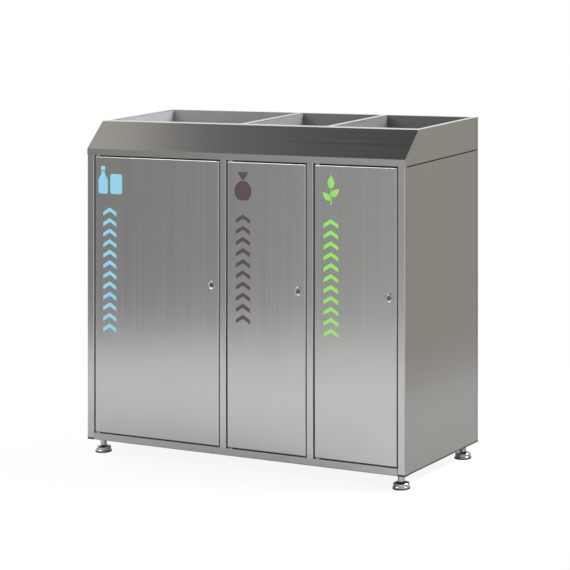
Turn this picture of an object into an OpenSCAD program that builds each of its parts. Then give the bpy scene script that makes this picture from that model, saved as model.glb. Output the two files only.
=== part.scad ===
// Recycling station: a sheet steel cabinet with three keyed doors under an open sloped hood.
// Millimetres. The origin is on the floor below the middle of the part, +Z is up, the doors face -Y.

/* [Cabinet] */
// Width across the side panels
cabinet_w = 1202; // [1100:1:1300]
// Depth from the door faces to the back panel
cabinet_d = 486; // [440:1:540]
// Height of the body from its underside to the hood
body_h = 942; // [820:0.5:1040]
// Thickness of every steel sheet
sheet_t = 1.5; // [1.2:0.1:2]
// Outer radius of the sheet bends
bend_r = 3; // [2.5:0.1:4]
// Height of the underside above the floor
foot_h = 47; // [40:0.5:56]

/* [Frame] */
// Width of the stile that the left side panel folds into
left_stile_w = 28; // [24:0.5:32]
// Width of the stile that the right side panel folds into
right_stile_w = 26; // [24:0.5:32]
// Width of the two mullions
mullion_w = 25; // [22:0.5:30]
// Clear width of the wide left opening
wide_opening_w = 498; // [440:1:540]
// Depth of the stiles, mullions and bottom rail
frame_d = 25; // [24:0.5:30]
// Height of the base rails
rail_h = 23.5; // [22:0.5:32]
// Wall of the tubes
tube_t = 2; // [1.5:0.1:2.5]
// Width of the side and rear base rails
base_rail_w = 20; // [16:0.5:20]
// Width of the return folded under each side panel
hem_w = 15; // [10:0.5:20]

/* [Back] */
// Width of the back panel's flange on each side
back_flange_w = 10; // [8:0.5:20]
// Open line between the back flange and the side sheets
flange_gap = 1.2; // [0.3:0.1:1.5]

/* [Hood] */
// Height of the upright fascia strip
fascia_h = 21; // [18:0.5:28]
// Rise of the sloped front
slope_rise = 82; // [70:0.5:100]
// Setback of the sloped front
slope_run = 85; // [70:1:100]
// Height of the dark seam between hood and body
seam_gap = 3.5; // [2:0.1:4.5]
// Length of joined side sheet ahead of the seam
seam_start = 12; // [8:0.5:20]
// Width of the deck's front rim
rim_front_w = 36; // [24:1:46]
// Width of the deck's side rims
rim_side_w = 20; // [16:0.5:26]
// Width of the deck's back rim
rim_back_w = 14; // [12:0.5:26]
// Depth of the chutes below the deck
chute_len = 145; // [120:1:160]
// Height of the inward fold at the foot of each chute
fold_h = 60; // [45:1:70]
// Inward reach of that fold on each side
fold_in = 40; // [30:1:45]

/* [Doors] */
// Gap on the hinge side of each door
hinge_gap = 4.5; // [3.3:0.1:5.5]
// Gap on the lock side of each door
lock_gap = 2.5; // [2:0.1:3.5]
// Gap below each door
sill_gap = 3; // [2.5:0.1:4]
// Gap above each door
head_gap = 4.2; // [3:0.1:5]
// Depth of the door pans
door_d = 20; // [18:0.5:22]
// Pivot axis from the door's hinge edge
pivot_in = 10; // [9.5:0.1:12]
// Pivot axis behind the door face
pivot_back = 8; // [7.5:0.1:8.5]
// Diameter of the pivot pins
pin_d = 8; // [6:0.1:8]

/* [Locks] */
// Lock axis from the door's free edge
lock_in = 27; // [26.5:0.5:32]
// Lock axis above the cabinet's underside
lock_z = 540; // [440:1:620]
// Diameter of the lock's front ring
bezel_d = 31; // [28:0.5:34]
// Stand-out of the front ring from the door
bezel_t = 3.5; // [2.5:0.1:5]
// Diameter of the lock barrel
barrel_d = 19; // [18:0.5:20]
// Diameter of the turning plug
plug_d = 14; // [12:0.5:15]
// Reach of the cam from the lock axis
cam_len = 38; // [37:0.5:39]

/* [Liners] */
// Room between each chute and the liner below it
liner_head = 23; // [15:1:60]
// Wall of the liners
liner_t = 3; // [2.5:0.1:4]
// Side room beside each liner, both sides together
liner_room = 34; // [32:1:80]

/* [Feet] */
// Diameter of the foot above its pad
foot_d = 52; // [46:0.5:58]
// Foot axis from the side of the cabinet
foot_in_x = 36; // [35:0.5:44]
// Front feet's axis from the door faces
foot_in_front = 42; // [40:0.5:52]
// Rear feet's axis from the back panel's face
foot_in_back = 38; // [32:0.5:52]
// Diameter of the foot's neck
neck_d = 21.5; // [20:0.5:26]
// Diameter of the foot's stud
stud_d = 12; // [10:0.5:14]

/* [Hidden] */
$fn = 64;

half_w = cabinet_w / 2;
front_y = -(cabinet_d - bezel_t) / 2;
z_rail = foot_h + rail_h;
z_pan = z_rail + sheet_t;
z_hood = foot_h + body_h;
z_bend = z_hood + fascia_h;
z_top = z_bend + slope_rise;
z_deck = z_top - sheet_t;
z_lock = foot_h + lock_z;

narrow_opening_w = (cabinet_w - left_stile_w - right_stile_w - 2 * mullion_w - wide_opening_w) / 2;
bay_w = [wide_opening_w, narrow_opening_w, narrow_opening_w];
bay_x = [-half_w + left_stile_w,
    -half_w + left_stile_w + wide_opening_w + mullion_w,
    half_w - right_stile_w - narrow_opening_w];
mullion_x = [bay_x[0] + bay_w[0], bay_x[1] + bay_w[1]];

mouth_x0 = [-half_w + rim_side_w, bay_x[1], bay_x[2]];
mouth_x1 = [mullion_x[0], mullion_x[1], half_w - rim_side_w];
mouth_y0 = slope_run + rim_front_w;
mouth_y1 = cabinet_d - rim_back_w;

door_w = [bay_w[0] - hinge_gap - lock_gap, bay_w[1] - hinge_gap - lock_gap,
    bay_w[2] - hinge_gap - lock_gap];
door_x = [bay_x[0] + hinge_gap, bay_x[1] + hinge_gap, bay_x[2] + hinge_gap];
door_z0 = z_rail + sill_gap;
door_z1 = z_hood - head_gap;
door_h = door_z1 - door_z0;

// Clearances: running fits, seated fits and open lines between moving pieces
run_fit = 0.05;
seat_fit = 0.05;
open_line = 0.3;

bush_r = pin_d / 2 + 2;
bush_flange_r = pivot_back - 0.5;
bush_len = tube_t;
pin_collar_r = pin_d / 2 + 1.5;
pin_collar_t = 6;
pin_past = 7;

header_h = fascia_h - 3.5;
side_y1 = cabinet_d - back_flange_w - flange_gap;
base_rail_x = half_w - bend_r - base_rail_w;

barrel_len = frame_d - 3;
nut_t = 4;
nut_d = barrel_d + 8;
cam_t = 2.5;
cam_w = 16;
cam_y = frame_d + 1;
tail_d = 9;
keyway_w = 2;
keyway_h = 9;
keyway_deep = 9;
dish_deep = 2;
dish_d = plug_d + 9;

liner_y0 = cam_y + 19;
liner_y1 = cabinet_d - sheet_t - 8.5;
liner_h = z_deck - chute_len - liner_head - z_pan;
liner_r = 30;
liner_rim = 8;
liner_rim_t = 12;

plate_t = 4;
plate_w = 75;
foot_nut_d = 22;
foot_nut_h = 12;
pad_t = 4;
pad_lip = 1.2;
stud_top = rail_h - 2;
foot_x = half_w - foot_in_x;
foot_y = [foot_in_front, cabinet_d - foot_in_back];

// Moves children from the front face's depth scale into the part's frame
module from_front() {
    translate([0, front_y, 0]) children();
}

// Plan outline with two rounded corners on its front edge
module front_rounded(w, d, r) {
    union() {
        translate([r, 0]) square([w - 2 * r, d]);
        translate([0, r]) square([w, d - r]);
        translate([r, r]) circle(r);
        translate([w - r, r]) circle(r);
    }
}

// Side outline with rounded corners at the front of its foot and head
module side_rounded(d, h, r) {
    union() {
        translate([0, r]) square([d, h - 2 * r]);
        translate([r, 0]) square([d - r, h]);
        translate([r, r]) circle(r);
        translate([r, h - r]) circle(r);
    }
}

// Side outline with one rounded corner at the front of its foot
module foot_rounded(d, h, r) {
    union() {
        translate([0, r]) square([d, h - r]);
        translate([r, 0]) square([d - r, h]);
        translate([r, r]) circle(r);
    }
}

// Outline rounded at all four corners
module round_square(w, d, r) {
    union() {
        translate([r, 0]) square([w - 2 * r, d]);
        translate([0, r]) square([w, d - 2 * r]);
        for (x = [r, w - r], y = [r, d - r]) translate([x, y]) circle(r);
    }
}

// Extrudes a depth and height outline along X
module along_x(len) {
    rotate([90, 0, 90]) linear_extrude(len) children();
}

// Turns a lathe shape so that its axis runs back along Y
module along_y() {
    rotate([-90, 0, 0]) children();
}

// Rail of the door frame, with a seat for each lower bush
module bottom_rail() {
    w = cabinet_w - left_stile_w - right_stile_w;
    color("Silver") from_front() difference() {
        translate([-half_w + left_stile_w, 0, foot_h]) along_x(w) difference() {
            foot_rounded(frame_d, rail_h, bend_r);
            translate([tube_t, tube_t]) square([frame_d - 2 * tube_t, rail_h - 2 * tube_t]);
        }
        for (i = [0:2])
            translate([door_x[i] + pivot_in, pivot_back, z_rail - tube_t - 1])
                cylinder(h = tube_t + 2, r = bush_r + seat_fit);
    }
}

// Tube of the base, one sheet above the underside
module base_tube(x, y, w, d) {
    h = rail_h - sheet_t;
    translate([x, y, foot_h + sheet_t]) difference() {
        cube([w, d, h]);
        if (w > d)
            translate([-1, tube_t, tube_t]) cube([w + 2, d - 2 * tube_t, h - 2 * tube_t]);
        else
            translate([tube_t, -1, tube_t]) cube([w - 2 * tube_t, d + 2, h - 2 * tube_t]);
    }
}

module rear_rail() {
    w = 2 * base_rail_x;
    color("Silver") from_front()
        base_tube(-w / 2, cabinet_d - sheet_t - base_rail_w, w, base_rail_w);
}

// Rails that stand on the side panels' returns
module side_rails() {
    y1 = cabinet_d - bend_r;
    color("Silver") from_front() for (s = [0, 1]) mirror([s, 0, 0])
        base_tube(base_rail_x, frame_d, base_rail_w, y1 - frame_d);
}

module base_pan() {
    w = cabinet_w - 2 * sheet_t;
    color("Gainsboro") from_front() translate([-w / 2, frame_d, z_rail])
        cube([w, cabinet_d - bend_r - frame_d, sheet_t]);
}

// Corner plates that carry the feet
module foot_plates() {
    x0 = base_rail_x - plate_w;
    y0 = [frame_d, cabinet_d - sheet_t - base_rail_w - plate_w];
    color("Silver") from_front() for (s = [0, 1], i = [0, 1]) mirror([s, 0, 0]) difference() {
        translate([x0, y0[i], foot_h]) cube([plate_w, plate_w, plate_t]);
        translate([foot_x, foot_y[i], foot_h - 1]) cylinder(h = plate_t + 2, r = stud_d / 2 + run_fit);
    }
}

module foot_nuts() {
    color("DarkGray") from_front() for (s = [0, 1], i = [0, 1]) mirror([s, 0, 0])
        translate([foot_x, foot_y[i], foot_h + plate_t]) difference() {
            cylinder(h = foot_nut_h, r = foot_nut_d / 2, $fn = 6);
            translate([0, 0, -1]) cylinder(h = foot_nut_h + 2, r = stud_d / 2 + run_fit);
        }
}

// Return folded inward along the foot of a side sheet
module side_hem(h) {
    len = side_y1 - frame_d;
    translate([half_w, side_y1, foot_h]) mirror([1, 0, 0]) rotate([90, 0, 0])
        linear_extrude(len) difference() {
            foot_rounded(hem_w, h, bend_r);
            translate([sheet_t, sheet_t]) foot_rounded(hem_w, h, bend_r - sheet_t);
        }
}

// Side sheet folded round the front corner into a channel that forms the stile
module side_panel(stile_w) {
    hem_h = 3 * bend_r;
    difference() {
        translate([half_w - stile_w, 0, foot_h]) linear_extrude(body_h) union() {
            difference() {
                front_rounded(stile_w, frame_d, bend_r);
                translate([sheet_t, sheet_t])
                    front_rounded(stile_w - 2 * sheet_t, frame_d, bend_r - sheet_t);
            }
            translate([stile_w - sheet_t, bend_r]) square([sheet_t, side_y1 - bend_r]);
        }
        translate([half_w - sheet_t - 1, seam_start, z_hood - seam_gap])
            cube([sheet_t + 2, cabinet_d, seam_gap + 1]);
        translate([half_w - sheet_t - 1, frame_d, foot_h - 1])
            cube([sheet_t + 2, cabinet_d, hem_h + 1]);
    }
    side_hem(hem_h);
}

module right_side_panel() {
    color("Gainsboro") from_front() side_panel(right_stile_w);
}

module left_side_panel() {
    color("Gainsboro") from_front() mirror([1, 0, 0]) side_panel(left_stile_w);
}

// Full-height back sheet with a flange folded forward on each side
module back_panel() {
    color("Gainsboro") from_front() translate([-half_w, cabinet_d, foot_h]) mirror([0, 1, 0])
        linear_extrude(z_deck - foot_h) difference() {
            front_rounded(cabinet_w, back_flange_w, bend_r);
            translate([sheet_t, sheet_t])
                front_rounded(cabinet_w - 2 * sheet_t, back_flange_w, bend_r - sheet_t);
        }
}

module mullion(i) {
    color("Silver") from_front() translate([mullion_x[i], 0, z_rail])
        linear_extrude(z_hood - z_rail) difference() {
            front_rounded(mullion_w, frame_d, bend_r);
            translate([tube_t, tube_t]) square([mullion_w - 2 * tube_t, frame_d - 2 * tube_t]);
        }
}

module divider(i) {
    x = mullion_x[i] + mullion_w / 2;
    color("Gainsboro") from_front() translate([x - sheet_t / 2, frame_d, z_pan])
        cube([sheet_t, cabinet_d - sheet_t - frame_d, z_hood - seam_gap - z_pan]);
}

// Tube behind the fascia, with a seat for each upper bush
module header_rail() {
    w = cabinet_w - 2 * sheet_t;
    color("Silver") from_front() difference() {
        translate([-w / 2, sheet_t, z_hood]) difference() {
            cube([w, frame_d, header_h]);
            translate([-1, tube_t, tube_t]) cube([w + 2, frame_d - 2 * tube_t, header_h - 2 * tube_t]);
        }
        for (i = [0:2])
            translate([door_x[i] + pivot_in, pivot_back, z_hood - 1])
                cylinder(h = tube_t + 2, r = bush_r + seat_fit);
    }
}

// Depth and height outline below the fascia and slope, drawn from their fold line.
// The sheet is grooved along the line before it is folded, so the fold is sharp.
module hood_core(inset) {
    a = atan2(slope_rise, slope_run);
    over = inset > 0 ? 1 : 0;
    end_y = slope_run + over;
    low = -fascia_h - over;
    polygon([[inset, low], [inset, inset * (sin(a) - 1) / cos(a)],
        [end_y, end_y * tan(a) - inset / cos(a)], [end_y, low]]);
}

// Fascia and slope folded from one sheet
module hood_front() {
    w = cabinet_w - 2 * sheet_t;
    color("Gainsboro") from_front() translate([-w / 2, 0, z_bend]) along_x(w) difference() {
        hood_core(0);
        hood_core(sheet_t);
    }
}

// Hood side with its front edge mitred to the slope
module cheek() {
    top_y = slope_run * (1 - sheet_t / slope_rise);
    translate([half_w - sheet_t, 0, 0]) along_x(sheet_t)
        polygon([[0, z_hood], [0, z_bend], [top_y, z_deck], [side_y1, z_deck], [side_y1, z_hood]]);
}

module right_cheek() {
    color("Gainsboro") from_front() cheek();
}

module left_cheek() {
    color("Gainsboro") from_front() mirror([1, 0, 0]) cheek();
}

// Top plate with one mouth above each compartment
module top_deck() {
    color("WhiteSmoke") from_front() difference() {
        translate([-half_w, slope_run, z_deck]) cube([cabinet_w, cabinet_d - slope_run, sheet_t]);
        for (i = [0:2])
            translate([mouth_x0[i], mouth_y0, z_deck - 1])
                cube([mouth_x1[i] - mouth_x0[i], mouth_y1 - mouth_y0, sheet_t + 2]);
    }
}

// Width and height outline of a chute, drawn up from its foot, with both sides folded inward
module chute_outline(w, inset, over) {
    k = fold_in / fold_h;
    x0 = inset * sqrt(1 + k * k);
    foot_x0 = fold_in + x0 + over * k;
    bend_z = fold_h + (x0 - inset) / k;
    polygon([[foot_x0, -over], [w - foot_x0, -over], [w - inset, bend_z],
        [w - inset, chute_len + over], [inset, chute_len + over], [inset, bend_z]]);
}

// Sleeve below a mouth that guides waste into the liner
module chute(i) {
    w = mouth_x1[i] - mouth_x0[i] + 2 * sheet_t;
    d = mouth_y1 - mouth_y0;
    color("LightGray") from_front()
        translate([mouth_x0[i] - sheet_t, mouth_y1, z_deck - chute_len]) rotate([90, 0, 0])
            difference() {
                translate([0, 0, -sheet_t]) linear_extrude(d + 2 * sheet_t) chute_outline(w, 0, 0);
                linear_extrude(d) chute_outline(w, sheet_t, 1);
            }
}

// Rigid liner with a rolled rim, standing on the base pan
module liner(i) {
    w = bay_w[i] - liner_room;
    d = liner_y1 - liner_y0;
    x0 = bay_x[i] + liner_room / 2;
    color("DimGray") from_front() translate([x0, liner_y0, z_pan]) difference() {
        union() {
            translate([liner_rim, liner_rim, 0]) linear_extrude(liner_h)
                round_square(w - 2 * liner_rim, d - 2 * liner_rim, liner_r - liner_rim);
            translate([0, 0, liner_h - liner_rim_t]) linear_extrude(liner_rim_t)
                round_square(w, d, liner_r);
        }
        translate([liner_rim + liner_t, liner_rim + liner_t, liner_t]) linear_extrude(liner_h)
            round_square(w - 2 * liner_rim - 2 * liner_t, d - 2 * liner_rim - 2 * liner_t,
                liner_r - liner_rim - liner_t);
    }
}

// Flanged bush with its body along +Z and its flange filling the gap below the origin
module bush(gap) {
    flange_t = gap - open_line;
    difference() {
        union() {
            translate([0, 0, -flange_t]) cylinder(h = flange_t, r = bush_flange_r);
            cylinder(h = bush_len, r = bush_r);
        }
        translate([0, 0, -flange_t - 1])
            cylinder(h = flange_t + bush_len + 2, r = pin_d / 2 + run_fit);
    }
}

module lower_bushes() {
    color("White") from_front() for (i = [0:2])
        translate([door_x[i] + pivot_in, pivot_back, z_rail]) mirror([0, 0, 1]) bush(sill_gap);
}

module upper_bushes() {
    color("White") from_front() for (i = [0:2])
        translate([door_x[i] + pivot_in, pivot_back, z_hood]) bush(head_gap);
}

// Solid inside a door's rounded faces, set in by one sheet for the hollow
module door_core(w, inset) {
    r = bend_r - inset;
    d = door_d + (inset > 0 ? 1 : 0) - inset;
    translate([inset, inset, inset]) intersection() {
        linear_extrude(door_h - 2 * inset) front_rounded(w - 2 * inset, d, r);
        along_x(w - 2 * inset) side_rounded(d, door_h - 2 * inset, r);
    }
}

// Door sheet with all four edges folded back
module door_pan(i) {
    w = door_w[i];
    color("Gainsboro") from_front() translate([door_x[i], 0, door_z0]) difference() {
        door_core(w, 0);
        door_core(w, sheet_t);
        translate([w - lock_in, -1, z_lock - door_z0]) along_y()
            cylinder(h = sheet_t + 2, r = barrel_d / 2 + seat_fit);
        for (z = [-1, door_h - sheet_t - 1])
            translate([pivot_in, pivot_back, z]) cylinder(h = sheet_t + 2, r = pin_d / 2 + seat_fit);
    }
}

// Pivot pin with its collar seated inside the door's fold, pointing along -Z across the gap
module pivot_pin(gap) {
    reach = gap + pin_past;
    translate([0, 0, sheet_t]) cylinder(h = pin_collar_t, r = pin_collar_r);
    translate([0, 0, -reach]) cylinder(h = reach + sheet_t + 1, r = pin_d / 2);
}

module door_pins(i) {
    color("DarkGray") from_front() translate([door_x[i] + pivot_in, pivot_back, 0]) {
        translate([0, 0, door_z0]) pivot_pin(sill_gap);
        translate([0, 0, door_z1]) mirror([0, 0, 1]) pivot_pin(head_gap);
    }
}

// Places children on a door's lock axis, with depth measured from the door face
module at_lock(i) {
    from_front() translate([door_x[i] + door_w[i] - lock_in, 0, z_lock]) along_y() children();
}

// Lock body: domed front ring dished down to the plug, and the barrel behind it
module lock_body(i) {
    r = bezel_t - 0.3;
    bore = plug_d / 2 + run_fit;
    color("Silver") at_lock(i) difference() {
        union() {
            translate([0, 0, -bezel_t]) rotate_extrude() intersection() {
                square([bezel_d / 2, bezel_t]);
                union() {
                    square([bezel_d / 2 - r, bezel_t]);
                    translate([0, r]) square([bezel_d / 2, bezel_t - r]);
                    translate([bezel_d / 2 - r, r]) circle(r);
                }
            }
            cylinder(h = barrel_len, r = barrel_d / 2);
        }
        translate([0, 0, -bezel_t]) cylinder(h = dish_deep, r1 = dish_d / 2, r2 = bore + 1);
        translate([0, 0, -bezel_t - 1]) cylinder(h = bezel_t + barrel_len + 2, r = bore);
    }
}

module lock_nut(i) {
    color("DarkGray") at_lock(i) translate([0, 0, sheet_t]) difference() {
        cylinder(h = nut_t, r = nut_d / 2, $fn = 6);
        translate([0, 0, -1]) cylinder(h = nut_t + 2, r = barrel_d / 2 + seat_fit);
    }
}

// Turning plug with an upright keyway and a tail for the cam
module lock_plug(i) {
    face = -bezel_t + dish_deep - 0.2;
    color("DarkGray") at_lock(i) difference() {
        union() {
            translate([0, 0, face]) cylinder(h = cam_y - face, r = plug_d / 2);
            cylinder(h = cam_y + cam_t + 1.5, r = tail_d / 2);
        }
        translate([-keyway_w / 2, -keyway_h / 2, face - 1]) cube([keyway_w, keyway_h, keyway_deep + 1]);
    }
}

// Cam hanging down, clear of the frame until it is turned
module lock_cam(i) {
    reach = cam_len - cam_w / 2;
    color("Gray") at_lock(i) translate([0, 0, cam_y]) linear_extrude(cam_t) difference() {
        union() {
            circle(cam_w / 2);
            translate([-cam_w / 2, 0]) square([cam_w, reach]);
            translate([0, reach]) circle(cam_w / 2);
        }
        circle(tail_d / 2 + seat_fit);
    }
}

// Turned foot: base ring, coned top, neck and stud
module foot() {
    r = foot_d / 2;
    neck_r = neck_d / 2;
    neck_top = foot_h - pad_t - open_line;
    color("Gainsboro") union() {
        translate([0, 0, pad_t]) rotate_extrude() polygon([[0, 0], [r, 0], [r, 3.5], [r - 1, 5],
            [r - 1, 13], [r - 2.2, 14.2], [neck_r + 1, 18], [neck_r, 19], [neck_r, neck_top],
            [0, neck_top]]);
        translate([0, 0, pad_t]) cylinder(h = foot_h + stud_top - pad_t, r = stud_d / 2);
    }
}

module foot_pad() {
    color("DimGray") cylinder(h = pad_t, r = foot_d / 2 + pad_lip);
}

// Places a foot piece at one of the four corners
module at_foot(side, end) {
    from_front() translate([side * foot_x, foot_y[end], 0]) children();
}

bottom_rail();
rear_rail();
side_rails();
base_pan();
foot_plates();
foot_nuts();
left_side_panel();
right_side_panel();
back_panel();
mullion(0);  // left_mullion
mullion(1);  // right_mullion
divider(0);  // left_divider
divider(1);  // right_divider
header_rail();
hood_front();
left_cheek();
right_cheek();
top_deck();
chute(0);  // left_chute
chute(1);  // middle_chute
chute(2);  // right_chute
liner(0);  // left_liner
liner(1);  // middle_liner
liner(2);  // right_liner
lower_bushes();
upper_bushes();
door_pan(0);  // left_door_pan
door_pins(0);  // left_door_pins
lock_body(0);  // left_lock_body
lock_nut(0);  // left_lock_nut
lock_plug(0);  // left_lock_plug
lock_cam(0);  // left_lock_cam
door_pan(1);  // middle_door_pan
door_pins(1);  // middle_door_pins
lock_body(1);  // middle_lock_body
lock_nut(1);  // middle_lock_nut
lock_plug(1);  // middle_lock_plug
lock_cam(1);  // middle_lock_cam
door_pan(2);  // right_door_pan
door_pins(2);  // right_door_pins
lock_body(2);  // right_lock_body
lock_nut(2);  // right_lock_nut
lock_plug(2);  // right_lock_plug
lock_cam(2);  // right_lock_cam
at_foot(-1, 0) foot();  // front_left_foot
at_foot(-1, 0) foot_pad();  // front_left_pad
at_foot(1, 0) foot();  // front_right_foot
at_foot(1, 0) foot_pad();  // front_right_pad
at_foot(-1, 1) foot();  // rear_left_foot
at_foot(-1, 1) foot_pad();  // rear_left_pad
at_foot(1, 1) foot();  // rear_right_foot
at_foot(1, 1) foot_pad();  // rear_right_pad
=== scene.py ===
# %% [markdown]
# # Recycling bin station
# A free-standing cabinet of brushed stainless steel: three keyed doors, an open sloped hood above them
# and round levelling feet below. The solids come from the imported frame, in metres and already in place.
# This lesson gives them their finishes, adds the cut film marks on the doors, and sets up the studio.

# %% Frame
import math

import bpy
import numpy as np
from mathutils import Matrix, Vector


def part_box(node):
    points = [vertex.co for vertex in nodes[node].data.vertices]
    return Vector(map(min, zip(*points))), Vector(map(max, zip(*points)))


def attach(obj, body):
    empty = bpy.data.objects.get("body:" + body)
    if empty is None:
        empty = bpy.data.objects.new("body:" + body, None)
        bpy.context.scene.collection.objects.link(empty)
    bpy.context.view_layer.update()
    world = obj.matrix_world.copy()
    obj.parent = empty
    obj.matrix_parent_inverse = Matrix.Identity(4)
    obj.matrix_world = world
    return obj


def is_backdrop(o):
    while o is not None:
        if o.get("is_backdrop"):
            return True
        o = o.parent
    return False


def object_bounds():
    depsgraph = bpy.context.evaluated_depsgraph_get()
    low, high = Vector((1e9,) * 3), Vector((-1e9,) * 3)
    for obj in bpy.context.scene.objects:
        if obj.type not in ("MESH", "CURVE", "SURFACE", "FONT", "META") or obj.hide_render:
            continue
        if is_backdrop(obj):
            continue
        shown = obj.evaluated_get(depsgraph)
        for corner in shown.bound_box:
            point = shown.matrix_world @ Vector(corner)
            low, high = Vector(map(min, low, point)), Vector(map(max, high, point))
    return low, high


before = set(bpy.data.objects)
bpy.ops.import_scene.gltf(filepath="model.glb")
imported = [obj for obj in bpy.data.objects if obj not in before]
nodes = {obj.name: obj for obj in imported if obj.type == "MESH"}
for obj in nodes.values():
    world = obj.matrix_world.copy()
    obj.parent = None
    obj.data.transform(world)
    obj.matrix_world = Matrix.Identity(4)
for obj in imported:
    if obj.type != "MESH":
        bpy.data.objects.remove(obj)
cad_low, cad_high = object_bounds()
print("solids:", len(nodes), "box in m:", [round(v, 4) for v in cad_high - cad_low])

# %% [markdown]
# ## Camera
# The picture was straightened after it was taken: uprights are upright on the page although the lens
# looks down a little, and level rows lean a little to one side. An ordinary camera can only turn. A
# view camera can also slide and slant its film, so the film's own axes are written out here as the
# columns of a matrix: across the page, up the page and towards the eye. The matrix rides in as a parent
# inverse, which may be slanted.

# %% Camera
picture_px = 570
# Focal length and eye level in pixels of the picture, and how far a level row climbs per pixel across.
focal_px = 2247.4
eye_level_px = -100.3
row_climb = -0.0345
turn = math.radians(32.02)
eye = Vector((3.907, -6.214, 1.812))

ahead = Vector((-math.sin(turn), math.cos(turn), 0.0))
aside = Vector((math.cos(turn), math.sin(turn), 0.0))
upward = Vector((0.0, 0.0, 1.0))
gaze = ahead + upward * (eye_level_px - picture_px / 2) / focal_px
film_across = (aside + upward * row_climb).normalized()
film = Matrix((film_across, upward, -gaze.normalized())).transposed().to_4x4()
film.translation = eye

stand = bpy.data.objects.new("camera_stand", None)
bpy.context.scene.collection.objects.link(stand)
camera = bpy.data.objects.new("camera", bpy.data.cameras.new("camera"))
bpy.context.scene.collection.objects.link(camera)
camera.parent = stand
camera.matrix_parent_inverse = film
camera.data.sensor_width = 36.0
camera.data.lens = camera.data.sensor_width * focal_px * gaze.length / picture_px
camera.data.clip_end = 100.0
bpy.context.scene.camera = camera
bpy.context.scene.view_settings.view_transform = "Standard"
print("lens in mm:", round(camera.data.lens, 1), "eye at", [round(v, 2) for v in eye])

# %% [markdown]
# ## Two helpers for finishes
# Paint charts give colours as sRGB hex values, while a shader works in linear light, so one function
# converts them. A second one adds a node to a tree, sets its properties and values, and joins the
# inputs that come from other nodes. Every finish below is written with these two.

# %% Helpers for finishes
def paint(hex_code):
    """sRGB to linear: c / 12.92 below 0.04045, else ((c + 0.055) / 1.055) to the power 2.4. Alpha is 1."""
    c = np.array([int(hex_code[i:i + 2], 16) for i in (1, 3, 5)]) / 255.0
    linear = np.where(c <= 0.04045, c / 12.92, ((c + 0.055) / 1.055) ** 2.4)
    return (*linear.tolist(), 1.0)


def put(tree, kind, inputs=(), **settings):
    """Adds a node. A tuple (node, output) in inputs is a link, anything else is the socket's value."""
    made = tree.nodes.new(kind)
    for name, value in settings.items():
        setattr(made, name, value)
    for socket, value in dict(inputs).items():
        if isinstance(value, tuple) and isinstance(value[0], bpy.types.Node):
            tree.links.new(value[0].outputs[value[1]], made.inputs[socket])
        else:
            made.inputs[socket].default_value = value
    return made


def finish_named(name):
    """A new, empty material tree with its output node."""
    material = bpy.data.materials.new(name)
    material.use_nodes = True
    material.node_tree.nodes.clear()
    output = material.node_tree.nodes.new("ShaderNodeOutputMaterial")
    return material, material.node_tree, output


print("steel grey, linear:", [round(v, 3) for v in paint("#BCBBB9")])

# %% [markdown]
# ## Brushed stainless steel
# The sheets are 304 stainless, drawn under an abrasive belt at the mill. The belt leaves parallel
# scratches a tenth of a millimetre wide and some hundred long, so the sheet is grey, satin and faintly
# streaked along the grain, and thin sheet is never quite flat, so what it mirrors wavers. An
# anisotropic shader would need a tangent on every face. Stretched noise in object space needs none and
# follows each sheet's own grain: one noise streaks the tone, the gloss and the surface, and a slow one
# bends the mirror image.

# %% Brushed stainless steel
mm = 0.001
# Belt scratches are about 0.1 mm wide, too fine for the picture, so the streaks are drawn this wide.
streak_w = 3.0 * mm
streak_l = 700.0 * mm
scratch_h = 0.0012 * mm
ripple_w = 240.0 * mm
# Height over which the painted shade along the lower edges fades in.
painted_shade_fade = 1.5 * mm


def brushed_steel(name, grain, light, dark, gloss, ripple, painted_shade_top=None):
    """Steel with streaks along one axis: light and dark are its tones, gloss the (least, most) roughness.
    Below painted_shade_top, a height above the floor, a dark and dull band covers the steel: painted
    shade, standing in for the shadowed floor under the cabinet that the lower edges mirror."""
    material, tree, output = finish_named(name)
    place = put(tree, "ShaderNodeTexCoord")
    stretch = [1.0 / streak_w] * 3
    stretch["XYZ".index(grain)] = 1.0 / streak_l
    along = put(tree, "ShaderNodeMapping", {"Vector": (place, "Object"), "Scale": stretch})
    streaks = put(tree, "ShaderNodeTexNoise", {"Vector": (along, "Vector"), "Scale": 1.0, "Detail": 2.0,
                                               "Roughness": 0.5})
    ripples = put(tree, "ShaderNodeTexNoise", {"Vector": (place, "Object"), "Scale": 1.0 / ripple_w,
                                               "Detail": 1.0})
    tone = put(tree, "ShaderNodeMix", {"Factor": (streaks, "Fac"), "A": paint(dark), "B": paint(light)},
               data_type="RGBA")
    gloss_map = put(tree, "ShaderNodeMapRange", {
        "Value": (streaks, "Fac"), "From Min": 0.25, "From Max": 0.75,
        "To Min": gloss[0], "To Max": gloss[1]})
    sheet = put(tree, "ShaderNodeBump", {"Height": (ripples, "Fac"), "Distance": ripple})
    scratched = put(tree, "ShaderNodeBump", {"Height": (streaks, "Fac"), "Distance": scratch_h,
                                             "Normal": (sheet, "Normal")})
    steel = put(tree, "ShaderNodeBsdfPrincipled", {
        "Base Color": (tone, "Result"), "Metallic": 1.0, "Roughness": (gloss_map, "Result"),
        "Normal": (scratched, "Normal")})
    surface = (steel, "BSDF")
    if painted_shade_top:
        # Painted shade: a dark, dull band below the given height that stands in for the mirrored shadow
        # under the cabinet.
        height = put(tree, "ShaderNodeSeparateXYZ", {0: (place, "Object")})
        clean = put(tree, "ShaderNodeMapRange", {"Value": (height, "Z"), "From Min": painted_shade_top - painted_shade_fade,
                                                 "From Max": painted_shade_top})
        painted_shade = put(tree, "ShaderNodeBsdfDiffuse", {"Color": paint("#4C4946")})
        shaded = put(tree, "ShaderNodeMixShader", {0: (clean, "Result"), 1: (painted_shade, "BSDF"), 2: surface})
        surface = (shaded, "Shader")
    tree.links.new(surface[0].outputs[surface[1]], output.inputs["Surface"])
    return material


def dress(material, *names):
    """Gives the material to each named solid."""
    for name in names:
        for slot in nodes[name].material_slots:
            slot.material = material


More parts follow.
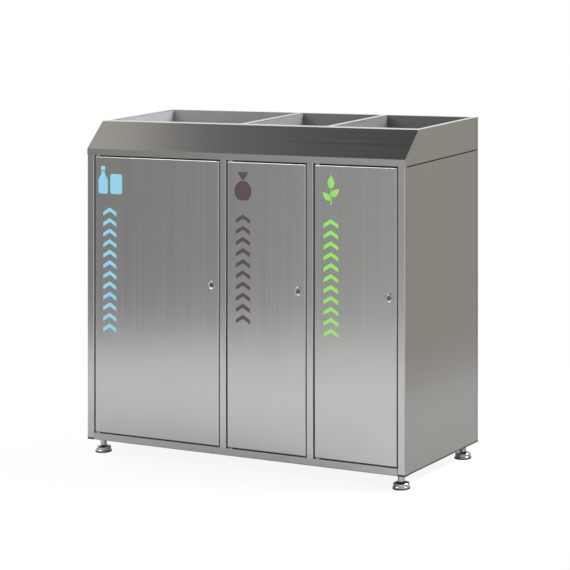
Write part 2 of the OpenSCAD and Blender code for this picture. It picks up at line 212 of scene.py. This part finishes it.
satin = {"light": "#BFBFBE", "dark": "#B7B7B6"}
upright_steel = brushed_steel("brushed_steel_upright", "Z", gloss=(0.20, 0.24), ripple=0.8 * mm, **satin)
level_steel = brushed_steel("brushed_steel_level", "X", gloss=(0.20, 0.24), ripple=0.5 * mm, **satin)
deep_steel = brushed_steel("brushed_steel_deep", "Y", gloss=(0.21, 0.25), ripple=0.5 * mm, **satin)
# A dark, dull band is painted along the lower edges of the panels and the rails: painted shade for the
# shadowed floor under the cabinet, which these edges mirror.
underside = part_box("right_side_panel")[0].z
rail_painted_shade_h = 2.0 * mm
panel_painted_shade_h = 7.0 * mm
tube_steel = brushed_steel("brushed_tube", "X", gloss=(0.38, 0.44), ripple=0.2 * mm,
                           painted_shade_top=underside + rail_painted_shade_h, light="#B6B6B5", dark="#AEAEAD")
panel_steel = brushed_steel("brushed_steel_panel", "Z", gloss=(0.20, 0.24), ripple=0.8 * mm,
                            painted_shade_top=underside + panel_painted_shade_h, **satin)
doors = ("left", "middle", "right")
dress(upright_steel, *(f"{d}_door_pan" for d in doors), "left_mullion", "right_mullion", "left_divider",
      "right_divider")
dress(panel_steel, "left_side_panel", "right_side_panel", "back_panel")
dress(level_steel, "hood_front", "top_deck", "base_pan")
dress(tube_steel, "bottom_rail", "rear_rail", "header_rail")
dress(deep_steel, "side_rails", "left_cheek", "right_cheek")
finishes = [solid.material_slots[0].material.name for solid in nodes.values()]
print("brushed solids:", sum(name.startswith("brushed") for name in finishes))

# %% [markdown]
# ## Plain metals
# The chutes inside the openings are folded from the same satin sheet, but what is thrown in rubs it
# dull and dries on it. The thin film of dried spills scatters light as well as letting the steel mirror
# it, so the grain hardly shows and the walls stay evenly bright down to the corners. The small steel
# pieces are zinc plated, the feet polished, the lock rings nickelled and the plugs worn chrome. None
# shows a grain, so round, cloudy noise replaces the stretched one, and bare is the share of the metal
# that its film leaves bright.

# %% Plain metals
pit_h = 0.05 * mm


def plain_metal(name, light, dark, gloss, cloud_w, bare=1.0):
    """Metal without a grain: cloudy tone and gloss, with clouds about cloud_w across. Its metallic value
    is bare: 1 for clean metal, less under a dull film."""
    material, tree, output = finish_named(name)
    place = put(tree, "ShaderNodeTexCoord")
    clouds = put(tree, "ShaderNodeTexNoise", {"Vector": (place, "Object"), "Scale": 1.0 / cloud_w,
                                              "Detail": 5.0, "Roughness": 0.6})
    tone = put(tree, "ShaderNodeMix", {"Factor": (clouds, "Fac"), "A": paint(dark), "B": paint(light)},
               data_type="RGBA")
    gloss_map = put(tree, "ShaderNodeMapRange", {
        "Value": (clouds, "Fac"), "From Min": 0.3, "From Max": 0.7,
        "To Min": gloss[0], "To Max": gloss[1]})
    pits = put(tree, "ShaderNodeBump", {"Height": (clouds, "Fac"), "Distance": pit_h})
    steel = put(tree, "ShaderNodeBsdfPrincipled", {
        "Base Color": (tone, "Result"), "Metallic": bare, "Roughness": (gloss_map, "Result"),
        "Normal": (pits, "Normal")})
    tree.links.new(steel.outputs["BSDF"], output.inputs["Surface"])
    return material


# The chutes share one finish but get three tones, light on the left to dark on the right: painted shade
# for the light that reaches into each opening, less in the narrow ones.
chute_tones_with_painted_shade = {"left": ("#A5A5A8", "#9B9B9E"), "middle": ("#858587", "#7C7C7E"),
               "right": ("#767679", "#6E6E71")}
for door, (bright, dark_tone) in chute_tones_with_painted_shade.items():
    dulled_steel = plain_metal(f"{door}_dulled_steel", bright, dark_tone, (0.48, 0.56), 40.0 * mm, bare=0.5)
    dress(dulled_steel, f"{door}_chute")
plated_steel = plain_metal("zinc_plated_steel", "#B9BCC0", "#A3A6A6", (0.30, 0.42), 12.0 * mm)
polished_steel = plain_metal("polished_steel", "#C3C2C0", "#BAB9B7", (0.09, 0.15), 8.0 * mm)
lock_ring = plain_metal("polished_nickel", "#B8B9BA", "#AEAFB0", (0.05, 0.10), 5.0 * mm)
lock_chrome = plain_metal("worn_chrome", "#8E8F91", "#848587", (0.14, 0.20), 5.0 * mm)
dress(plated_steel, "foot_plates", "foot_nuts", "lower_bushes", "upper_bushes",
      *(f"{d}_{piece}" for d in doors for piece in ("door_pins", "lock_nut", "lock_cam")))
dress(lock_ring, *(f"{d}_lock_body" for d in doors))
dress(lock_chrome, *(f"{d}_lock_plug" for d in doors))
corners = ("front_left", "front_right", "rear_left", "rear_right")
dress(polished_steel, *(f"{c}_foot" for c in corners))
print("plain finishes:", [m.name for m in (dulled_steel, plated_steel, polished_steel, lock_ring,
                                              lock_chrome)])

# %% [markdown]
# ## Rubber pads and plastic liners
# The pads are moulded natural rubber, filled with carbon black: dark, dull and slightly grainy from the
# mould. The liners are rotationally moulded polyethylene, a waxy grey with the fine pebble of a blasted
# mould. Neither is a metal, so both show their own colour, with a soft highlight from a rough surface.

# %% Rubber and plastic
tone_w = 60.0 * mm


def moulded(name, light, dark, gloss, pebble_w, pebble_h):
    """A moulded polymer: clouds of two near tones and a pebble of width and height from the mould."""
    material, tree, output = finish_named(name)
    place = put(tree, "ShaderNodeTexCoord")
    clouds = put(tree, "ShaderNodeTexNoise", {"Vector": (place, "Object"), "Scale": 1.0 / tone_w,
                                              "Detail": 3.0})
    pebble = put(tree, "ShaderNodeTexNoise", {"Vector": (place, "Object"), "Scale": 1.0 / pebble_w,
                                              "Detail": 2.0})
    tone = put(tree, "ShaderNodeMix", {"Factor": (clouds, "Fac"), "A": paint(dark), "B": paint(light)},
               data_type="RGBA")
    gloss_map = put(tree, "ShaderNodeMapRange", {"Value": (clouds, "Fac"), "To Min": gloss[0],
                                                 "To Max": gloss[1]})
    bumps = put(tree, "ShaderNodeBump", {"Height": (pebble, "Fac"), "Distance": pebble_h})
    body = put(tree, "ShaderNodeBsdfPrincipled", {
        "Base Color": (tone, "Result"), "Roughness": (gloss_map, "Result"), "IOR": 1.5,
        "Normal": (bumps, "Normal")})
    tree.links.new(body.outputs["BSDF"], output.inputs["Surface"])
    return material


pad_rubber = moulded("black_rubber", "#2B2B2A", "#1F1F1F", (0.65, 0.8), 1.5 * mm, 0.1 * mm)
liner_plastic = moulded("grey_polyethylene", "#6B6F73", "#5F6367", (0.45, 0.6), 3.0 * mm, 0.15 * mm)
dress(pad_rubber, *(f"{c}_pad" for c in corners))
dress(liner_plastic, *(f"{d}_liner" for d in doors))
undressed = [n for n, o in nodes.items() if o.material_slots[0].material.name.startswith("slot")]
print("solids still in their packed colour:", undressed)

# %% [markdown]
# ## Cut film marks on the doors
# Each door carries a coloured mark for what goes in above it: a picture at the head and a column of
# chevrons that points up to the opening. On such cabinets these are cut from self-adhesive vinyl film
# on a plotter and rubbed down on the steel. They could be painted by a mask in the steel's material,
# but film has a thickness and its own gloss, so it is made as real film. Every cut shape is a ruled
# strip: a path up the shape, and at each point of the path an arm that reaches equally far to both
# sides.

# %% Film strips
film_t = 0.2 * mm
film_lift = 0.05 * mm
arm_steps = np.linspace(-1.0, 1.0, 5)


def ease(x):
    """Smooth step: 3 x squared minus 2 x cubed, with x held between 0 and 1."""
    x = np.clip(x, 0.0, 1.0)
    return x * x * (3.0 - 2.0 * x)


def film_piece(name, door, strips, material):
    """Film on a door. A strip is (path, arm), arrays (n, 2) in the door's face, and its points are
    path + u times arm for u from -1 to 1. The points of all strips go into one mesh, facing outwards."""
    face_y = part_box(f"{door}_door_pan")[0].y - film_lift - film_t
    points, quads, start = [], [], 0
    for path, arm in strips:
        grid = path[:, None, :] + arm_steps[None, :, None] * arm[:, None, :]
        flat = grid.reshape(-1, 2)
        points.append(np.column_stack([flat[:, 0], np.full(len(flat), face_y), flat[:, 1]]))
        index = start + np.arange(len(flat)).reshape(grid.shape[:2])
        corners_of = [index[:-1, :-1], index[:-1, 1:], index[1:, 1:], index[1:, :-1]]
        step = path[1] - path[0]
        if step[1] * arm[0, 0] - step[0] * arm[0, 1] < 0.0:
            corners_of.reverse()
        quads.append(np.stack(corners_of, axis=-1).reshape(-1, 4))
        start += len(flat)
    mesh = bpy.data.meshes.new(name)
    mesh.from_pydata(np.vstack(points).tolist(), [], np.vstack(quads).tolist())
    mesh.materials.append(material)
    piece = bpy.data.objects.new(name, mesh)
    bpy.context.scene.collection.objects.link(piece)
    thicken = piece.modifiers.new("film", "SOLIDIFY")
    thicken.thickness = film_t
    thicken.offset = -1.0
    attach(piece, f"{door}_door")
    return piece


def upright(x, z, half_width):
    """A strip with a level arm: an outline that is alike on both sides of an upright line at x."""
    return np.column_stack([np.full_like(z, x), z]), np.column_stack([half_width, np.zeros_like(z)])


print("film facets per step:", len(arm_steps) - 1)

# %% [markdown]
# ## Vinyl film
# The film is calendered PVC, dyed through: an even, clean colour with the slight orange peel of the
# rollers and a soft plastic gloss, IOR 1.53. The tone drifts a little where the film has faded.

# %% Vinyl film
fade_w = 50.0 * mm
peel_w = 2.0 * mm
peel_h = 0.02 * mm


def vinyl(name, fresh, faded):
    """Dyed film: two near tones in soft clouds about fade_w across, and an orange peel of width peel_w and
    height peel_h."""
    material, tree, output = finish_named(name)
    place = put(tree, "ShaderNodeTexCoord")
    fading = put(tree, "ShaderNodeTexNoise", {"Vector": (place, "Object"), "Scale": 1.0 / fade_w,
                                              "Detail": 2.0})
    peel = put(tree, "ShaderNodeTexNoise", {"Vector": (place, "Object"), "Scale": 1.0 / peel_w})
    tone = put(tree, "ShaderNodeMix", {"Factor": (fading, "Fac"), "A": paint(faded), "B": paint(fresh)},
               data_type="RGBA")
    peeled = put(tree, "ShaderNodeBump", {"Height": (peel, "Fac"), "Distance": peel_h})
    film_body = put(tree, "ShaderNodeBsdfPrincipled", {
        "Base Color": (tone, "Result"), "Roughness": 0.35, "IOR": 1.53, "Normal": (peeled, "Normal")})
    tree.links.new(film_body.outputs["BSDF"], output.inputs["Surface"])
    return material


blue_film = vinyl("blue_vinyl", "#8ED7F3", "#9AD5EB")
maroon_film = vinyl("maroon_vinyl", "#54404A", "#5A4850")
green_film = vinyl("green_vinyl", "#98F062", "#A2EB70")
print("films:", blue_film.name, maroon_film.name, green_film.name)

# %% [markdown]
# ## Pictures
# Left: a bottle and a can. Middle: a tied sack. Right: a sprig with leaves. Each outline is a formula
# for the half width over the height, so a shape is one upright strip, or a leaning one for a leaf.

# %% Pictures
def rounded_foot(z, radius):
    """How much a corner of this radius takes off the half width at height z: r minus root(2 r z - z z)."""
    z = np.clip(z, 0.0, radius)
    return radius - np.sqrt(np.maximum(2.0 * radius * z - z * z, 0.0))


def bottle_and_can(x, z):
    """Bottle: body, an eased shoulder, neck and cap. Can: a straight body drawn in at both ends."""
    bottle_h, shoulder_top, shoulder_h = 74.0 * mm, 68.0 * mm, 24.0 * mm
    neck_hw, shoulder_out, foot_r = 7.0 * mm, 12.0 * mm, 5.0 * mm
    bottle = np.linspace(0.0, bottle_h, 38)
    body_hw = neck_hw + shoulder_out * ease((shoulder_top - bottle) / shoulder_h)
    bottle_hw = body_hw - rounded_foot(bottle, foot_r)
    cap = np.array([77.0, 91.0]) * mm
    cap_hw = np.full(2, 8.5 * mm)
    can_h, end_h, end_hw, end_in = 66.0 * mm, 7.0 * mm, 19.0 * mm, 5.0 * mm
    can = np.linspace(0.0, can_h, 34)
    can_hw = end_hw + end_in * ease(can / end_h) * ease((can_h - can) / end_h)
    bottle_x, can_x = x - 27.0 * mm, x + 26.0 * mm
    return [upright(bottle_x, z + bottle, bottle_hw), upright(bottle_x, z + cap, cap_hw),
            upright(can_x, z + can, can_hw)]


def tied_sack(x, z):
    """Sack: a sine bulge to the power 0.6, a waist where it is tied, and a flared frill above it."""
    sack_h, waist_hw, bulge, foot_r = 62.0 * mm, 6.0 * mm, 26.0 * mm, 6.0 * mm
    sack = np.linspace(0.0, sack_h, 40)
    belly = waist_hw + bulge * np.sin(np.pi * (0.06 + 0.94 * sack / sack_h)) ** 0.6
    frill_z, frill_h, flare = 66.0 * mm, 24.0 * mm, 13.0 * mm
    frill = np.linspace(frill_z, frill_z + frill_h, 16)
    frill_hw = waist_hw + flare * ease((frill - frill_z) / frill_h)
    return [upright(x, z + sack, belly - rounded_foot(sack, foot_r)), upright(x, z + frill, frill_hw)]


def leaf(x, z, lean, length, half_width):
    """A leaf along a straight rib: half width times the sine of pi t to the power 0.8."""
    t = np.linspace(0.0, 1.0, 24)
    rib = np.array([math.sin(lean), math.cos(lean)])
    path = np.array([x, z]) + t[:, None] * length * rib
    arm = (half_width * np.sin(np.pi * t ** 0.8))[:, None] * np.array([rib[1], -rib[0]])
    return path, arm


def sprig(x, z):
    """A stem that thins upwards, two leaning leaves and one at the tip."""
    stem_h, foot_hw, thins = 52.0 * mm, 2.4 * mm, 0.8 * mm
    stem = np.linspace(0.0, stem_h, 20)
    lean, side_l, side_hw = math.radians(52.0), 38.0 * mm, 10.0 * mm
    tip_l, tip_hw = 44.0 * mm, 12.0 * mm
    return [upright(x, z + stem, foot_hw - thins * stem / stem_h),
            leaf(x - 1.0 * mm, z + 14.0 * mm, -lean, side_l, side_hw),
            leaf(x + 1.0 * mm, z + 26.0 * mm, lean, side_l, side_hw),
            leaf(x, z + 48.0 * mm, 0.0, tip_l, tip_hw)]


# The marks' upright line, in from the hinge edge, and the pictures' foot, below the door's top edge.
mark_in = 60.0 * mm
picture_down = 122.0 * mm
pictures = {"left": (bottle_and_can, blue_film), "middle": (tied_sack, maroon_film),
            "right": (sprig, green_film)}
for door, (draw, film_colour) in pictures.items():
    low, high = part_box(f"{door}_door_pan")
    piece = film_piece(f"{door}_picture", door, draw(low.x + mark_in, high.z - picture_down), film_colour)
    print(piece.name, "faces:", len(piece.data.polygons))

# %% [markdown]
# ## Chevrons
# The columns below the pictures are arrows that point up to the opening. A chevron's path climbs to a
# peak and falls again, and its arm stays upright, so the two strokes meet in a clean mitre.

# %% Chevrons
chevron_hw = 26.5 * mm
chevron_rise = 15.0 * mm
chevron_band = 13.0 * mm
column_top = 167.0 * mm
# Length of each column, how many chevrons it holds, and its film.
columns = {"left": (410.0 * mm, 12, blue_film), "middle": (346.0 * mm, 10, maroon_film),
           "right": (366.0 * mm, 11, green_film)}


def chevron(x, z):
    """A path from the left foot to the peak and on to the right foot, with upright arms of half a band."""
    path = np.array([[x - chevron_hw, z], [x, z + chevron_rise], [x + chevron_hw, z]])
    return path, np.tile([0.0, chevron_band / 2], (3, 1))


for door, (length, count, film_colour) in columns.items():
    low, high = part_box(f"{door}_door_pan")
    foot = high.z - column_top - length + chevron_band / 2
    pitch = (length - chevron_rise - chevron_band) / (count - 1)
    strips = [chevron(low.x + mark_in, foot + pitch * i) for i in range(count)]
    piece = film_piece(f"{door}_chevrons", door, strips, film_colour)
    print(piece.name, "pitch in mm:", round(pitch / mm, 1))

# %% [markdown]
# ## Paper floor
# Steel has no colour of its own to speak of: it shows the room, so the room is part of the finish. The
# cabinet stands on a sheet of paper, which the doors mirror in their lower half. The paper lies askew
# and is painted darker to its right, painted shade for the cabinet's shadow on the floor, so every door
# mirrors it differently. For the camera the same paper is a plain white floor that keeps a soft shadow.
# The kind of ray decides between the two, so the floor that the camera sees puts no more light on the
# cabinet.

# %% Paper floor
# The front edge of the paper lies askew to the cabinet, and to its right the paper is painted darker:
# painted shade for the shadow of the cabinet on the floor.
paper_corners = ((-3.0, -1.26, 0.0), (1.3, -2.98, 0.0), (1.3, 4.0, 0.0), (-3.0, 4.0, 0.0))
darker_side = (0.95, 0.30, 0.0)
# Where along the darker side each tone begins and is full, in metres.
paper_shade_steps = ((-0.80, 0.30, "#D4D4D3"), (0.25, 0.70, "#838280"))
# The share of plain white mixed into the paper: where steel mirrors it, and in view near the cabinet.
white_in_steel = 0.1
white_in_view = 0.9
# The shadow is kept out to the first distance in metres, and the floor is plain white past the second.
shadow_near, shadow_end = 0.9, 1.8
print("paper corners in m:", paper_corners)

# %% Paper
paper_mesh = bpy.data.meshes.new("paper_floor")
paper_mesh.from_pydata(paper_corners, [], [(0, 1, 2, 3)])
paper_floor = bpy.data.objects.new("paper_floor", paper_mesh)
bpy.context.scene.collection.objects.link(paper_floor)
paper_floor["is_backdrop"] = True
paper, tree, output = finish_named("white_paper")
place = put(tree, "ShaderNodeTexCoord")
ray = put(tree, "ShaderNodeLightPath")
across = put(tree, "ShaderNodeVectorMath", {0: (place, "Object"), 1: darker_side},
             operation="DOT_PRODUCT")
shade = paint("#E8E8E7")
# Painted shade: the paper's colour darkens in steps towards the side where the cabinet's shadow falls.
for start, end, colour in paper_shade_steps:
    falling = put(tree, "ShaderNodeMapRange", {
        "Value": (across, "Value"), "From Min": start, "From Max": end}, interpolation_type="SMOOTHSTEP")
    tint = put(tree, "ShaderNodeMix", {"Factor": (falling, "Result"), "A": shade, "B": paint(colour)},
               data_type="RGBA")
    shade = (tint, "Result")
matt = put(tree, "ShaderNodeBsdfDiffuse", {"Color": shade})
pale = put(tree, "ShaderNodeBsdfDiffuse", {"Color": paint("#FAFAF9")})
white = put(tree, "ShaderNodeEmission", {"Color": paint("#FFFFFF"), "Strength": 1.0})
mirrored = put(tree, "ShaderNodeMath", {0: (ray, "Is Glossy Ray"), 1: white_in_steel},
               operation="MULTIPLY")
in_steel = put(tree, "ShaderNodeMixShader", {
    0: (mirrored, "Value"), 1: (matt, "BSDF"), 2: (white, "Emission")})
away = put(tree, "ShaderNodeVectorMath", {0: (place, "Object")}, operation="LENGTH")
fading = put(tree, "ShaderNodeMapRange", {
    "Value": (away, "Value"), "From Min": shadow_near, "From Max": shadow_end, "To Min": white_in_view,
    "To Max": 1.0})
in_view = put(tree, "ShaderNodeMixShader", {
    0: (fading, "Result"), 1: (pale, "BSDF"), 2: (white, "Emission")})
blend = put(tree, "ShaderNodeMixShader", {0: (ray, "Is Camera Ray"), 1: (in_steel, "Shader"),
                                          2: (in_view, "Shader")})
tree.links.new(blend.outputs["Shader"], output.inputs["Surface"])
paper_mesh.materials.append(paper)
print("paper tones:", len(paper_shade_steps) + 1)

# %% [markdown]
# ## Room
# What a flat face mirrors follows from the camera's line of sight, turned back at that face. The right
# side looks on past the back to the right, the deck straight back, the doors to the front left, and the
# slope up. So four panels with soft edges lie there in a pale room: warm grey, white, mid grey and
# dark. They are colours of the world, not lamps, and the camera itself sees plain white.

# %% Room
world = bpy.data.worlds.new("room")
bpy.context.scene.world = world
world.use_nodes = True
tree = world.node_tree
tree.nodes.clear()
output = tree.nodes.new("ShaderNodeOutputWorld")
place = put(tree, "ShaderNodeTexCoord")
ray = put(tree, "ShaderNodeLightPath")
# Each panel of the room: where it lies, the cosines at its outer and inner edge, and its colour.
panels = (
    ((0.50, 0.86, -0.12), 0.70, 0.92, "#B3ADA6"),
    ((-0.53, 0.845, 0.06), 0.85, 0.95, "#FFFFFF"),
    ((-0.72, -0.68, -0.10), 0.90, 0.99, "#949494"),
    ((0.0, 0.0, 1.0), 0.70, 0.86, "#494949"),
)
below = paint("#E4E4E3")
for towards, outer, inner, colour in panels:
    facing = put(tree, "ShaderNodeVectorMath", {0: (place, "Generated"), 1: towards},
                 operation="DOT_PRODUCT")
    cover = put(tree, "ShaderNodeMapRange", {
        "Value": (facing, "Value"), "From Min": outer, "From Max": inner}, interpolation_type="SMOOTHSTEP")
    shade = put(tree, "ShaderNodeMix", {"Factor": (cover, "Result"), "A": below, "B": paint(colour)},
                data_type="RGBA")
    below = (shade, "Result")
room = put(tree, "ShaderNodeBackground", {"Color": below, "Strength": 1.0})
blank = put(tree, "ShaderNodeBackground", {"Color": paint("#FFFFFF"), "Strength": 1.0})
seen = put(tree, "ShaderNodeMixShader", {0: (ray, "Is Camera Ray"), 1: (room, "Background"),
                                         2: (blank, "Background")})
tree.links.new(seen.outputs["Shader"], output.inputs["Surface"])
print("room panels:", len(panels))

# %% [markdown]
# ## Soft boxes
# Six lamps behind white cloth stand round the cabinet, so that no side is black and the bends catch
# bright lines. The one on the right is the strongest, and the faint warm one only tints the slope of the
# hood. A small, hard lamp would show as a burnt spot in satin steel, so each is about a metre or more
# across.

# %% Soft boxes
def soft_box(name, at, towards, size, watts, colour="#FFFFFF"):
    """A lamp of (width, height) in metres that the steel mirrors and the camera does not see."""
    lamp = bpy.data.lights.new(name, "AREA")
    lamp.shape = "RECTANGLE"
    lamp.size, lamp.size_y = size
    lamp.energy = watts
    lamp.color = paint(colour)[:3]
    box = bpy.data.objects.new(name, lamp)
    box.location = at
    box.rotation_mode = "QUATERNION"
    box.rotation_quaternion = (Vector(towards) - Vector(at)).to_track_quat("-Z", "Y")
    box.visible_camera = False
    bpy.context.scene.collection.objects.link(box)
    return box


middle = (cad_low + cad_high) / 2
boxes = [
    soft_box("slope_box", (-2.3, -0.2, 2.8), middle, (1.2, 1.2), 1.5, "#FFEEDC"),
    soft_box("left_box", (-3.0, 0.6, 1.5), middle, (1.0, 1.5), 41.0),
    soft_box("top_box", (0.6, 1.7, 2.9), middle, (2.0, 1.4), 34.0),
    soft_box("right_box", (2.6, 0.6, 2.6), middle, (1.0, 1.0), 142.0),
    soft_box("rear_box", (1.8, 1.6, 2.6), middle, (1.0, 1.0), 59.0),
    soft_box("edge_box", (-1.6, -2.5, 2.4), middle, (1.6, 0.9), 27.0),
]
print("soft boxes:", [b.name for b in boxes])

# %% [markdown]
# ## Size and finish
# The box round the solids and the box round all that is shown are written down side by side. The film
# and the finishes add nothing to the outline, so both boxes agree.

# %% Size and finish
low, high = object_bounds()
print("visual box in m:", [round(v, 4) for v in high - low])
